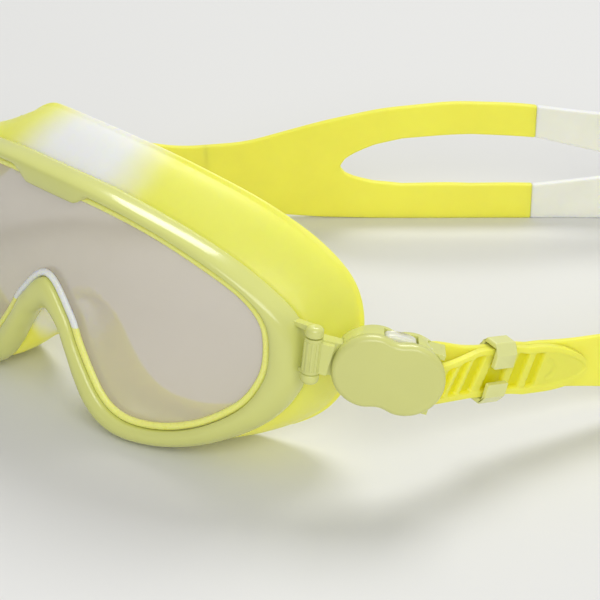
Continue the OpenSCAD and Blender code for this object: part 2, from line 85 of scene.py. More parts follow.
SEAL_EDGE = [[0, 73], [20, 72.2], [38, 69.4], [52, 65], [63, 59], [70, 51.5], [73, 43.5],
             [72, 34], [68, 24], [59.5, 15.8], [48.6, 11], [38.3, 9.6], [30.2, 10.6],
             [23.4, 14.4], [18, 20], [13, 26], [7.2, 31], [0, 33.6]]
BEHIND = [[139, 122], [148, 145], [150, 170], [145, 196], [131, 220], [108, 234], [82, 231],
          [59, 215], [36, 194.5], [4, 165.5], [-28, 137], [-58, 111], [-82, 97]]
LEAVE = {"left": (74, -8), "right": (103, -8)}
HALF_H = [[0, HALF_W], [50, HALF_W], [80, 10.6], [102, 13.6], [128, 18.6],
          [149, SPREAD / 2 - 1.4], [174, SPREAD / 2], [197, SPREAD / 2 - 0.4], [220, 20.8], [250, 19.8]]
HALF_GAP = [[0, 0], [1.2, 2.4], [3, 3.7], [5, 4.8], [8.5, 6.2], [12, 7.4], [22, 9.2],
            [46, GAP_W / 2], [69, GAP_W / 2 - 0.7], [92, 5], [120, 3.6]]
LOWER_EDGE = [[36, 16.5], [47, 14.8], [58, 12.4], [80, 6.5], [102, 2.4], [128, 0.5], [149, 0]]


# ---------------------------------------------------------------- curves
def curve(points, n, closed):
    """A smooth curve through points, n steps from each to the next."""
    p = np.array(points, float)
    k = len(p)
    out = []
    for i in range(k if closed else k - 1):
        if closed:
            a, b, c, d = (p[(i + j) % k] for j in (-1, 0, 1, 2))
        else:
            a, b, c, d = p[max(i - 1, 0)], p[i], p[i + 1], p[min(i + 2, k - 1)]
        for j in range(n):
            u = j / n
            out.append(0.5 * (2 * b + (c - a) * u + (2 * a - 5 * b + 4 * c - d) * u * u
                              + (3 * b - a - 3 * c + d) * u ** 3))
    if not closed:
        out.append(p[-1])
    return np.array(out)


def outline(half, n):
    """The closed outline whose right half is given, n steps between its points."""
    mirror = [[-x, z] for x, z in half[-2:0:-1]]
    return curve(half + mirror, n, True)


def outward(p):
    """Unit normals of a closed outline, pointing out of it."""
    t = np.roll(p, -1, 0) - np.roll(p, 1, 0)
    n = np.stack([-t[:, 1], t[:, 0]], 1)
    return n / np.linalg.norm(n, axis=1)[:, None]


def bend(x, r=LENS_R):
    """How far a cylinder of radius r falls back at x from the centre."""
    return r - np.sqrt(r * r - np.asarray(x) ** 2)


def smooth(a, b, x):
    """0 below a, 1 above b, and a soft step between."""
    t = np.clip((np.asarray(x, float) - a) / (b - a), 0, 1)
    return t * t * (3 - 2 * t)


# ---------------------------------------------------------------- placing
def leaned(p):
    """Points of the upright mask, leaned back as it stands."""
    p = np.asarray(p, float)
    c, s = math.cos(LEAN), math.sin(LEAN)
    return np.stack([p[..., 0], p[..., 1] * c + p[..., 2] * s, p[..., 2] * c - p[..., 1] * s], -1)


def cad_frame_points():
    """The outermost points of the CAD frame, which place the mask in the shared frame."""
    edge, inner = outline(FRAME_EDGE, 3), outline(FRAME_INNER, 3)
    pts = []
    for u, y in ((0.42, -PROUD), (0.98, 2.6), (0.88, BACK), (0.12, -0.87 * PROUD)):
        q = inner + u * (edge - inner)
        pts.append(np.stack([q[:, 0], y + bend(q[:, 0]), q[:, 1]], 1))
    return leaned(np.concatenate(pts))


low, high = (np.array(c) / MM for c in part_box("frame"))
own = cad_frame_points()
MIRROR = {"left": np.array([1.0, 1.0, 1.0]), "right": np.array([-1.0, 1.0, 1.0])}
ORIGIN = np.array([(low[0] + high[0]) / 2, low[1] - own[:, 1].min(), low[2] - own[:, 2].min()])


def placed(p):
    """Mask points in its own upright frame, in mm, to the shared frame."""
    return leaned(p) + ORIGIN


def clip_dirs(side):
    """The clip's three directions: outwards along it, inwards and up its hinge."""
    c, s = math.cos(DROOP), math.sin(DROOP)
    a = HEADING[side]
    out = []
    for v in np.eye(3):
        q = np.array([v[0] * c + v[2] * s, v[1], v[2] * c - v[0] * s])
        t = np.array([q[0] * math.cos(a) - q[1] * math.sin(a),
                      q[0] * math.sin(a) + q[1] * math.cos(a), q[2]])
        out.append(leaned(t) * MIRROR[side])
    return np.array(out)


CLIP = {side: clip_dirs(side) for side in SIDES}
PIVOT = {side: leaned(HINGE) * MIRROR[side] + ORIGIN for side in SIDES}


def on_clip(side, p):
    """Points of a clip's own frame, in mm, to the shared frame."""
    return np.asarray(p, float) @ CLIP[side] + PIVOT[side]


def on_hinge(side, p):
    """Points given from the middle of a hinge, upright, to the shared frame."""
    p = np.asarray(p, float) + HINGE
    return leaned(p) * MIRROR[side] + ORIGIN


# ---------------------------------------------------------------- the strap's route
def leave_dir(side):
    """The direction in which the strap leaves a bar."""
    a, b = (math.radians(v) for v in LEAVE[side])
    v = np.array([math.cos(a) * math.cos(b), math.sin(a) * math.cos(b), math.sin(b)])
    return v * MIRROR[side]


def off_bar(side, s):
    return on_clip(side, [BAR_X, BAR_Y, 0]) + s * leave_dir(side)


near = [off_bar("left", s)[:2] for s in (0, 12, 24, STRAIGHT)]
far = [off_bar("right", s)[:2] for s in (STRAIGHT * 0.6, STRAIGHT * 0.3, 0)]
route = curve(near + [np.array(q) + ORIGIN[:2] for q in BEHIND] + far, 12, False)
along = np.concatenate([[0], np.cumsum(np.linalg.norm(np.diff(route, axis=0), axis=1))])
ROUTE_L = along[-1]


def from_bar(s):
    """Distance along the strap from the nearer bar."""
    return min(s, ROUTE_L - s)


def table(rows, x):
    r = np.array(rows, float)
    return np.interp(x, r[:, 0], r[:, 1])


def soft_table(rows, x, w=5.0):
    """The same rows with their corners rounded."""
    return sum(table(rows, x + d * w) for d in (-1, -0.5, 0, 0.5, 1)) / 5


def strap_frame(s):
    """Place, run, inward and upward directions of the strap at s."""
    s = float(s)
    q = np.array([np.interp(s, along, route[:, k]) for k in (0, 1)])
    a, b = max(s - 2, 0), min(s + 2, ROUTE_L)
    ends = [np.array([np.interp(e, along, route[:, k]) for k in (0, 1)]) for e in (a, b)]
    r = ends[1] - ends[0]
    r /= np.linalg.norm(r)
    side = "left" if s < ROUTE_L / 2 else "right"
    d = from_bar(s)
    u = min(d / 60, 1)
    up = (1 - u) * CLIP[side][2] + u * np.array([0, 0, 1.0])
    up /= np.linalg.norm(up)
    free = soft_table(LOWER_EDGE, d) + soft_table(HALF_H, d)
    u = min(d / STRAIGHT, 1)
    z = (1 - u) * off_bar(side, 0)[2] + u * free
    return np.array([q[0], q[1], z]), np.array([r[0], r[1], 0]), np.array([-r[1], r[0], 0]), up


def layer(s):
    """Depth of the strap's middle inside the route: it parts from the tail round the bar."""
    d = from_bar(s)
    return STRAP_T / 2 + GAP / 2 + (BAR_R + BAR_GAP - GAP / 2) * max(0, 1 - d / CLOSE_L)


def half_h(s):
    return float(soft_table(HALF_H, from_bar(s)))


def half_gap(s):
    return float(table(HALF_GAP, from_bar(s) - SPLIT_AT))


# ---------------------------------------------------------------- mesh helpers
def make(name, verts, faces, material, body=None, replaces=(), merge=True, sharp=None):
    """One visual piece from points in mm, with its body, slot and the CAD nodes it replaces."""
    mesh = bpy.data.meshes.new(name)
    mesh.from_pydata([tuple(v) for v in np.asarray(verts, float) * MM], [], [tuple(f) for f in faces])
    if merge:
        bm = bmesh.new()
        bm.from_mesh(mesh)
        bmesh.ops.remove_doubles(bm, verts=bm.verts, dist=2e-6)
        bmesh.ops.recalc_face_normals(bm, faces=bm.faces)
        bm.to_mesh(mesh)
        bm.free()
    mesh.validate()
    obj = bpy.data.objects.new(name, mesh)
    bpy.context.scene.collection.objects.link(obj)
    mesh.polygons.foreach_set("use_smooth", [True] * len(mesh.polygons))
    if sharp:
        mesh.set_sharp_from_angle(angle=math.radians(sharp))
    obj.data.materials.append(material)
    if body:
        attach(obj, body)
    if replaces:
        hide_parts(*replaces)
    return obj


def modify(obj, kind, **settings):
    m = obj.modifiers.new(kind.title(), kind)
    for key, value in settings.items():
        setattr(m, key, value)
    return obj


def rounded(obj, width, segments=3, angle=35):
    modify(obj, "BEVEL", width=width * MM, segments=segments, limit_method="ANGLE",
           angle_limit=math.radians(angle), harden_normals=False)
    return obj


def rings_mesh(rings, closed_along, closed_across=True, caps=True):
    """Faces between successive rings of equal length."""
    n, m = len(rings), len(rings[0])
    verts = np.concatenate(rings)
    faces = []
    for i in range(n if closed_along else n - 1):
        for j in range(m if closed_across else m - 1):
            a, b = i * m + j, i * m + (j + 1) % m
            c, d = ((i + 1) % n) * m + (j + 1) % m, ((i + 1) % n) * m + j
            faces.append((a, b, c, d))
    if caps and not closed_along:
        faces.append(tuple(range(m))[::-1])
        faces.append(tuple((n - 1) * m + j for j in range(m)))
    return verts, faces


def boxed(lo, hi):
    """A box between two corners."""
    x0, y0, z0 = lo
    x1, y1, z1 = hi
    v = [(x0, y0, z0), (x1, y0, z0), (x1, y1, z0), (x0, y1, z0),
         (x0, y0, z1), (x1, y0, z1), (x1, y1, z1), (x0, y1, z1)]
    f = [(0, 3, 2, 1), (4, 5, 6, 7), (0, 1, 5, 4), (1, 2, 6, 5), (2, 3, 7, 6), (3, 0, 4, 7)]
    return v, f


def revolved(profile, n=48):
    """A solid of revolution about z from (r, z) points, the first and last on the axis."""
    verts, faces = [], []
    m = len(profile)
    for i in range(n):
        a = 2 * math.pi * i / n
        verts += [(r * math.cos(a), r * math.sin(a), z) for r, z in profile]
    for i in range(n):
        for j in range(m - 1):
            a, b = i * m + j, i * m + j + 1
            c, d = ((i + 1) % n) * m + j + 1, ((i + 1) % n) * m + j
            if profile[j][0] < 1e-6:
                faces.append((a, b, c))
            elif profile[j + 1][0] < 1e-6:
                faces.append((a, b, d))
            else:
                faces.append((a, b, c, d))
    return verts, faces


def joined(*parts):
    """Several meshes as one."""
    verts, faces = [], []
    for v, f in parts:
        k = len(verts)
        verts += [tuple(q) for q in v]
        faces += [tuple(i + k for i in g) for g in f]
    return np.array(verts, float), faces


# ---------------------------------------------------------------- materials
def srgb(r, g, b):
    """A colour given in 0 to 255 as a linear one."""
    def lin(v):
        v /= 255
        return v / 12.92 if v <= 0.04045 else ((v + 0.055) / 1.055) ** 2.4
    return (lin(r), lin(g), lin(b), 1.0)


class Mat:
    """A procedural material: object coordinates feed noise for colour, roughness and bump."""

    def __init__(self, name):
        self.m = bpy.data.materials.new(name)
        self.m.use_nodes = True
        self.t = self.m.node_tree
        self.t.nodes.clear()
        self.out = self.t.nodes.new("ShaderNodeOutputMaterial")
        self.p = self.t.nodes.new("ShaderNodeBsdfPrincipled")
        self.t.links.new(self.p.outputs[0], self.out.inputs[0])
        self.co = self.t.nodes.new("ShaderNodeTexCoord").outputs["Object"]

    def node(self, kind, **inputs):
        n = self.t.nodes.new(kind)
        for k, v in inputs.items():
            key = k.replace("_", " ")
            if key in n.inputs:
                self.put(n.inputs[key], v)
            else:
                setattr(n, k, v)
        return n

    def put(self, socket, v):
        if isinstance(v, bpy.types.NodeSocket):
            self.t.links.new(v, socket)
        else:
            socket.default_value = v

    def noise(self, scale, detail=3.0, roughness=0.55, stretch=None):
        co = self.co
        if stretch:
            mp = self.t.nodes.new("ShaderNodeMapping")
            self.t.links.new(self.co, mp.inputs[0])
            mp.inputs["Scale"].default_value = stretch
            co = mp.outputs[0]
        n = self.t.nodes.new("ShaderNodeTexNoise")
        self.t.links.new(co, n.inputs["Vector"])
        n.inputs["Scale"].default_value = scale
        n.inputs["Detail"].default_value = detail
        n.inputs["Roughness"].default_value = roughness
        return n.outputs["Fac"]

    def mixed(self, fac, a, b):
        n = self.t.nodes.new("ShaderNodeMix")
        n.data_type = "RGBA"
        self.put(n.inputs[0], fac)
        self.put(n.inputs[6], a)
        self.put(n.inputs[7], b)
        return n.outputs[2]

    def maths(self, op, a, b=0.0, clamp=False):
        n = self.t.nodes.new("ShaderNodeMath")
        n.operation = op
        n.use_clamp = clamp
        self.put(n.inputs[0], a)
        self.put(n.inputs[1], b)
        return n.outputs[0]

    def range(self, v, a, b, c=0.0, d=1.0, smooth_=True):
        n = self.t.nodes.new("ShaderNodeMapRange")
        n.interpolation_type = "SMOOTHSTEP" if smooth_ else "LINEAR"
        for i, x in enumerate((v, a, b, c, d)):
            self.put(n.inputs[i], x)
        return n.outputs[0]

    def xyz(self):
        n = self.t.nodes.new("ShaderNodeSeparateXYZ")
        self.t.links.new(self.co, n.inputs[0])
        return n.outputs

    def bump(self, height, strength, distance=0.0002):
        n = self.t.nodes.new("ShaderNodeBump")
        n.inputs["Strength"].default_value = strength
        n.inputs["Distance"].default_value = distance
        self.t.links.new(height, n.inputs["Height"])
        self.t.links.new(n.outputs[0], self.p.inputs["Normal"])

    def set(self, **kw):
        for k, v in kw.items():
            self.put(self.p.inputs[k.replace("_", " ")], v)


def shade(c, k):
    """The colour c, k times as bright."""
    return (*[min(1, x * k) for x in c[:3]], 1)


def plastic(name, colour, rough=0.2, sss=0.1, coat=0.25):
    """Glossy moulded plastic, slightly clouded."""
    m = Mat(name)
    cloud = m.noise(38, 3)
    m.set(Base_Color=m.mixed(m.range(cloud, 0.35, 0.68), shade(colour, 0.985), shade(colour, 1.015)))
    fine = m.noise(120, 2)
    m.set(Roughness=m.range(fine, 0.3, 0.7, rough - 0.015, rough + 0.02), Subsurface_Weight=sss,
          Coat_Weight=coat, Coat_Roughness=0.08, IOR=1.5)
    m.p.inputs["Subsurface Radius"].default_value = (1.0, 0.9, 0.35)
    m.p.inputs["Subsurface Scale"].default_value = 0.003
    m.bump(m.noise(45, 1, 0.4), 0.015, 0.0002)
    return m


def silicone(name, colour, rough=0.38, sss=0.6, scale=0.004):
    """Silicone: light goes in and comes out again, with faint flow marks and a fine matt bloom."""
    m = Mat(name)
    cloud = m.noise(30, 4)
    m.base = m.mixed(m.range(cloud, 0.3, 0.7), shade(colour, 0.96), shade(colour, 1.03))
    bloom = m.range(m.noise(700, 3), 0.3, 0.7, rough - 0.06, rough + 0.09)
    m.set(Base_Color=m.base, Roughness=bloom, Subsurface_Weight=sss, IOR=1.42)
    m.p.inputs["Subsurface Radius"].default_value = (1.0, 0.85, 0.2)
    m.p.inputs["Subsurface Scale"].default_value = scale
    m.bump(m.noise(90, 3, 0.5), 0.06, 0.0002)
    return m


LIME = srgb(216, 219, 130)
YELLOW = srgb(244, 239, 92)
WHITE = srgb(238, 239, 236)

lime = plastic("lime_plastic", LIME)
cover_mat = plastic("cover_plastic", srgb(211, 213, 130), rough=0.3, sss=0.1, coat=0.15)
keeper_mat = plastic("keeper_plastic", srgb(226, 228, 150))
button_mat = plastic("button_plastic", srgb(226, 226, 205), rough=0.22, sss=0.5)
yellow = silicone("silicone_yellow", YELLOW)
tail_mat = silicone("silicone_tail", YELLOW)
# Painted shade: the tail's hollows take a deep saturated yellow, standing in for the shade in its windows
painted_hollow_shade = tail_mat.node("ShaderNodeAttribute", attribute_name="painted_hollow_shade").outputs["Fac"]
tail_mat.set(Base_Color=tail_mat.mixed(painted_hollow_shade, tail_mat.base, srgb(255, 240, 12)))
white = silicone("silicone_white", WHITE, sss=0.4)

# Skirt: white above the nose, yellow elsewhere, with a soft change between the two
skirt_mat = silicone("silicone_skirt", srgb(254, 249, 108), rough=0.34, sss=0.9, scale=0.006)
x, y, z = skirt_mat.xyz()
dx = skirt_mat.maths("ABSOLUTE", skirt_mat.maths("SUBTRACT", x, ORIGIN[0] * MM))
wander = skirt_mat.maths("MULTIPLY", skirt_mat.maths("SUBTRACT", skirt_mat.noise(26, 2), 0.5), 0.014)
edge = skirt_mat.maths("ADD", dx, wander)
# the white zone narrows towards the rear rim
rear = skirt_mat.range(y, (ORIGIN[1] + 12) * MM, (ORIGIN[1] + 38) * MM, 0.0, 0.005, False)
top = skirt_mat.range(skirt_mat.maths("ADD", edge, rear), 0.010, 0.036, 1.0, 0.0)
low_x = skirt_mat.range(skirt_mat.maths("ADD", edge, rear), 0.0095, 0.0125, 1.0, 0.0)
is_top = skirt_mat.range(z, 0.050, 0.056)
zone = skirt_mat.maths("ADD", skirt_mat.maths("MULTIPLY", top, is_top),
                       skirt_mat.maths("MULTIPLY", low_x, skirt_mat.maths("SUBTRACT", 1.0, is_top)), True)
skirt_mat.set(Base_Color=skirt_mat.mixed(zone, skirt_mat.base, srgb(250, 249, 232)))

# Gasket bead: white over the nose arch, yellow elsewhere; the yellow is a paler silicone, lightened further
# with painted light that stands in for light passing through the bead where the frame shades it
bead_mat = silicone("silicone_bead", srgb(254, 252, 140), rough=0.3, sss=0.6, scale=0.002)
x, y, z = bead_mat.xyz()
dx = bead_mat.maths("ABSOLUTE", bead_mat.maths("SUBTRACT", x, ORIGIN[0] * MM))
high_up = bead_mat.maths("MULTIPLY", bead_mat.range(z, 0.0312, 0.0315),
                         bead_mat.range(z, 0.055, 0.056, 1.0, 0.0))
nose = bead_mat.maths("MULTIPLY", bead_mat.range(dx, 0.022, 0.0222, 1.0, 0.0), high_up)
bead_mat.set(Base_Color=bead_mat.mixed(nose, bead_mat.base, srgb(236, 238, 234)))

# Lens: a warm grey tint that still shows what lies behind it
lens_mat = Mat("lens_tint")
tint = lens_mat.noise(14, 2)
warm = lens_mat.mixed(lens_mat.range(tint, 0.3, 0.7), srgb(214, 205, 191), srgb(220, 211, 199))
polish = lens_mat.range(lens_mat.noise(500, 2), 0.3, 0.8, 0.03, 0.07)
lens_mat.set(Base_Color=warm, Roughness=polish, IOR=1.5, Alpha=0.52)
lens_mat.bump(lens_mat.noise(9, 1), 0.02, 0.0004)

steel = Mat("steel")
drawn = steel.mixed(steel.noise(60, 2, stretch=(1, 1, 14)), srgb(176, 178, 180), srgb(206, 208, 210))
brushed = steel.range(steel.noise(900, 2, stretch=(1, 1, 8)), 0.2, 0.8, 0.22, 0.36)
steel.set(Base_Color=drawn, Metallic=1.0, Roughness=brushed)
steel.bump(steel.noise(1200, 2, stretch=(1, 1, 6)), 0.06, 0.0001)

# ---------------------------------------------------------------- mask
STEPS = 12
edge_line, inner_line = outline(FRAME_EDGE, STEPS), outline(FRAME_INNER, STEPS)
rim_line, seal_line = outline(RIM_EDGE, STEPS), outline(SEAL_EDGE, STEPS)
inner_out, edge_out = outward(inner_line), outward(edge_line)
w = np.linalg.norm(edge_line - inner_line, axis=1)
across = (edge_line - inner_line) / w[:, None]

# Depth of the tab that hangs over the lens at the top centre
tab = 3.8 * (1 - smooth(9.5, 16.5, np.abs(inner_line[:, 0]))) * (inner_line[:, 1] > 60)


def frame_at(d, y):
    """Points d out from the inner edge at each station, at depth y behind the lens surface."""
    q = inner_line + across * np.reshape(d, (-1, 1))
    return np.stack([q[:, 0], y + bend(q[:, 0]), q[:, 1]], 1)


def by_station(columns):
    """Columns of points, one per section point, as one ring of section points per station."""
    return list(np.stack(columns, 1))


# The frame's section: the tab's underside and tip, the rounded front, the outer side, the inside
SECTION = [(0 * w, -0.1), (0 * w, -1.0), (-tab * 0.5, -1.44), (-tab, -1.5),
           (-tab + 0.02, -1.62), (-tab + 0.16, -1.95), (-tab * 0.96 + 0.5, -2.3),
           (-tab * 0.7 + 0.16 * w, -2.66), (-tab * 0.3 + 0.28 * w, -2.92), (0.42 * w, -3.0),
           (0.56 * w, -2.86), (0.69 * w, -2.38), (0.81 * w, -1.5), (0.9 * w, -0.35),
           (0.955 * w, 1.0), (0.98 * w, 2.5), (0.965 * w, 3.9), (0.93 * w, 4.85),
           (0.88 * w, 5.2), (w - 1.7, 5.15), (w - 1.8, 4.6), (w - 1.8, 2.0),
           (0 * w + 1.5, 1.95), (0 * w + 1.5, -0.1)]
columns = [frame_at(d, y) for d, y in SECTION]
verts, faces = rings_mesh([placed(r) for r in by_station(columns)], True)
make("mask_frame", verts, faces, lime.m, "mask", ["frame"], sharp=48)


def bead_at(d, y):
    """Points d out from the inner edge along its normal, at depth y."""
    q = inner_line + d * inner_out
    return np.stack([q[:, 0], y + bend(q[:, 0]), q[:, 1]], 1)


columns = [bead_at(d, y) for d, y in (
    (-2.4, -0.05), (-2.42, -0.4), (-2.25, -0.8), (-1.85, -1.12), (-1.35, -1.26), (-0.85, -1.22),
    (-0.45, -1.0), (-0.22, -0.6), (-0.12, -0.05))]
verts, faces = rings_mesh([placed(r) for r in by_station(columns)], True)
make("gasket_bead", verts, faces, bead_mat.m, "mask", ["lens_bead"], sharp=60)


DROP = 14.5


def drooped(p, u):
    """The soft skirt hangs at its far upper corner, by up to DROP at the rear rim."""
    share = smooth(24, 58, -p[:, 0]) * smooth(49, 65, p[:, 2]) * u ** 1.3
    return p + share[:, None] * np.array([0.0, 0.0, -DROP])


def skirt_at(u, dy=0.0, inset=0.0):
    """u from the frame's outer edge, 0, to the rear rim, 1, and inset from that outline."""
    e = edge_line + u * (rim_line - edge_line)
    q = e - inset * edge_out
    front = BACK + bend(edge_line[:, 0])
    back = SKIRT_DEPTH + bend(rim_line[:, 0], RIM_R)
    return drooped(np.stack([q[:, 0], front + u * (back - front) + dy, q[:, 1]], 1), u)


def seal_at(k, dy):
    """k from the rim, 0, to the inner edge of the face flange, 1."""
    q = rim_line + k * (seal_line - rim_line)
    back = SKIRT_DEPTH + bend(q[:, 0], RIM_R)
    return drooped(np.stack([q[:, 0], back + dy, q[:, 1]], 1), 1.0)


y0 = LENS_T + 0.3
outer_side = [skirt_at(*v) for v in (
    (0.0, 0.2, 1.9), (0.02, 0.2, 1.3), (0.08, 0, 0.7), (0.18, 0, 0.1), (0.32, 0, -0.45),
    (0.5, 0, -0.75), (0.68, 0, -0.7), (0.82, 0, -0.4), (0.9, 0, -0.1), (0.945, 0, 0.0),
    (0.965, 0, -0.35), (0.985, 0.1, -0.4), (1.0, 0.25, -0.1))]
flange = [seal_at(*v) for v in (
    (0.04, 0.35), (0.15, 0.55), (0.3, 0.5), (0.5, 0.1), (0.7, -0.7), (0.88, -1.7), (0.97, -2.4),
    (1.0, -2.75), (0.97, -3.0), (0.85, -2.9), (0.68, -2.0), (0.5, -1.2), (0.32, -0.8))]
inner_side = [skirt_at(*v) for v in (
    (0.9, -0.6, 2.2), (0.78, 0, 1.5), (0.6, 0, 0.95), (0.45, 0, 0.85), (0.3, 0, 1.1),
    (0.15, 0, 1.8), (0.05, 0, 2.6))]
front = [frame_at(w - 3.8, y0 + 2.2), frame_at(w - 4.2, y0 + 1.6), bead_at(-1.8, y0 + 1.3),
         bead_at(-2.35, y0 + 1.0), bead_at(-2.4, y0 + 0.1), frame_at(w - 2.2, y0),
         frame_at(w - 2.15, BACK - 0.4)]
columns = outer_side + flange + inner_side + front
verts, faces = rings_mesh([placed(r) for r in by_station(columns)], True)
make("skirt_silicone", verts, faces, skirt_mat.m, "mask", ["skirt"], sharp=60)

# Lens: a triangulated sheet on the lens cylinder, both faces and the edge between them
lens_line = inner_line + 0.9 * inner_out
grid = []
zs = np.arange(3, 80, 3.0)
for i, zz in enumerate(zs):
    for xx in np.arange(-78, 79, 3.0):
        grid.append((xx + (1.5 if i % 2 else 0), zz))
loop = [tuple(p) for p in lens_line]


def inside_loop(p, q):
    """Whether the point p lies inside the closed outline q."""
    hit = False
    for i in range(len(q)):
        (x1, y1), (x2, y2) = q[i], q[i - 1]
        if (y1 > p[1]) != (y2 > p[1]) and p[0] < (x2 - x1) * (p[1] - y1) / (y2 - y1) + x1:
            hit = not hit
    return hit


shrunk = [tuple(p) for p in inner_line - 0.6 * inner_out]
grid = [p for p in grid if inside_loop(p, shrunk)]
pts2 = [Vector(p) for p in loop + grid]
ring_edges = [(i, (i + 1) % len(loop)) for i in range(len(loop))]
cdt = geometry.delaunay_2d_cdt(pts2, ring_edges, [], 1, 1e-5)
flat = np.array([list(v) for v in cdt[0]])
n_flat = len(flat)
front_pts = np.stack([flat[:, 0], 0.05 + bend(flat[:, 0]), flat[:, 1]], 1)
back_pts = np.stack([flat[:, 0], 1.75 + bend(flat[:, 0]), flat[:, 1]], 1)
tris = [tuple(f) for f in cdt[2]]
edge_count = {}
for f in tris:
    for a, b in zip(f, f[1:] + f[:1]):
        edge_count[(a, b)] = edge_count.get((a, b), 0) + 1
border = [(a, b) for (a, b) in edge_count if (b, a) not in edge_count]
faces = tris + [tuple(i + n_flat for i in f[::-1]) for f in tris]
faces += [(b, a, a + n_flat, b + n_flat) for a, b in border]
verts = placed(np.concatenate([front_pts, back_pts]))
make("lens_sheet", verts, faces, lens_mat.m, "mask", ["lens"], sharp=40)

# ---------------------------------------------------------------- hinges
LUG_Z, LUG_H = KNUCKLE_H / 2 + GAP, 3.2


def lug_parts(foot):
    """A lug above the knuckle: a domed eye, and a foot that reaches in to the frame."""
    dome = [(0, LUG_Z), (KNUCKLE_R - 0.25, LUG_Z), (KNUCKLE_R, LUG_Z + 0.25)]
    dome += [(KNUCKLE_R - 1.6 + 1.6 * math.cos(a), LUG_Z + LUG_H - 1.6 + 1.6 * math.sin(a))
             for a in np.linspace(0, math.pi / 2, 9)]
    dome += [(0.9, LUG_Z + LUG_H + 0.02), (0, LUG_Z + LUG_H + 0.03)]
    v, f = boxed((-foot, 0.2, LUG_Z + 0.2), (0, 3.0, LUG_Z + LUG_H - 0.9))
    v = [(x, y, z - (0.9 if x < -1 and z > LUG_Z + 1 else 0)) for x, y, z in v]
    return revolved(dome), (v, f)


def turned(v, a):
    """Points turned by the angle a about z."""
    v = np.array(v)
    c, s = math.cos(a), math.sin(a)
    return np.stack([v[:, 0] * c - v[:, 1] * s, v[:, 0] * s + v[:, 1] * c, v[:, 2]], 1)


for side in SIDES:
    upper = joined(*lug_parts(HINGE[0] - 79.8))
    lower = joined(*lug_parts(HINGE[0] - 83.9))
    lower[0][:, 2] *= -1
    v, f = joined(upper, lower)
    lugs = make("hinge_lugs_" + side, on_hinge(side, v), f, lime.m, "mask", sharp=40)
    rounded(lugs, 0.35)

for side in SIDES:
    # These CAD nodes stay visible, with a material and softened edges
    for node, mat in (("hinge_pin_", steel), ("strap_bar_", lime), ("button_spring_", steel),
                      ("clip_", lime), ("buckle_", lime), ("keeper_", keeper_mat)):
        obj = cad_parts[node + side]
        obj.data.materials.clear()
        obj.data.materials.append(mat.m)
        if mat is not steel:
            modify(obj, "WELD", merge_threshold=2e-6)
            rounded(obj, 0.45 if node != "clip_" else 0.3, 3)

    # Ribs round the front of the knuckle
    parts = []
    for a in (-150, -120, -90, -62, -35):
        v, f = boxed((KNUCKLE_R - 0.3, -0.42, -KNUCKLE_H / 2 + 0.9),
                     (KNUCKLE_R + 0.22, 0.42, KNUCKLE_H / 2 - 0.9))
        parts.append((turned(v, math.radians(a) + HEADING[side]), f))
    v, f = joined(*parts)
    ribs = make("clip_ribs_" + side, on_hinge(side, v), f, lime.m, side + "_clip",
                sharp=40)
    rounded(ribs, 0.16, 2)

# ---------------------------------------------------------------- buckle covers
def bean_outline(n):
    """The cover's outline: two round lobes with a shallow waist between them."""
    pts = []
    for i in range(n):
        a = 2 * math.pi * (i + 0.5) / n
        x = (LOBE_GAP + LOBE_R) * math.cos(a)
        s = 1 if math.sin(a) >= 0 else -1
        ax = abs(x)
        if ax <= LOBE_GAP:
            h = LOBE_R - 0.95 * (0.5 + 0.5 * math.cos(math.pi * ax / LOBE_GAP))
        else:
            h = math.sqrt(max(LOBE_R ** 2 - (ax - LOBE_GAP) ** 2, 0))
        pts.append((x, s * h))
    return np.array(pts)


def resampled(p, n):
    """The closed outline p as n evenly spaced points."""
    q = np.vstack([p, p[:1]])
    d = np.concatenate([[0], np.cumsum(np.linalg.norm(np.diff(q, axis=0), axis=1))])
    t = np.linspace(0, d[-1], n, endpoint=False)
    return np.stack([np.interp(t, d, q[:, k]) for k in (0, 1)], 1)


bean = resampled(bean_outline(720), 144)[::-1]
bean_n = outward(bean)
foot = np.stack([np.clip(bean[:, 0], -LOBE_GAP, LOBE_GAP), 0 * bean[:, 1]], 1)
for side in SIDES:
    rings = []
    steps = [(0.5, 0.0), (0.12, 0.0), (0.0, 0.12), (0.0, 1.15)]
    steps += [(1.7 * (1 - math.cos(a)), 1.15 + 1.95 * math.sin(a)) for a in np.linspace(0.2, math.pi / 2, 7)]
    for inset, h in steps:
        q = bean - inset * bean_n
        rings.append(np.stack([WAIST_X + q[:, 0], np.full(len(q), -h), q[:, 1]], 1))
    q0 = bean - 1.7 * bean_n
    for k in (0.9, 0.78, 0.62, 0.45, 0.28, 0.12):
        q = foot + k * (q0 - foot)
        rings.append(np.stack([WAIST_X + q[:, 0], np.full(len(q), -(3.1 + 0.55 * (1 - k * k))), q[:, 1]], 1))
    v, f = rings_mesh([on_clip(side, r) for r in rings], False)
    make("buckle_cover_shell_" + side, v, f, cover_mat.m, side + "_buckle",
         ["buckle_cover_" + side], sharp=50)

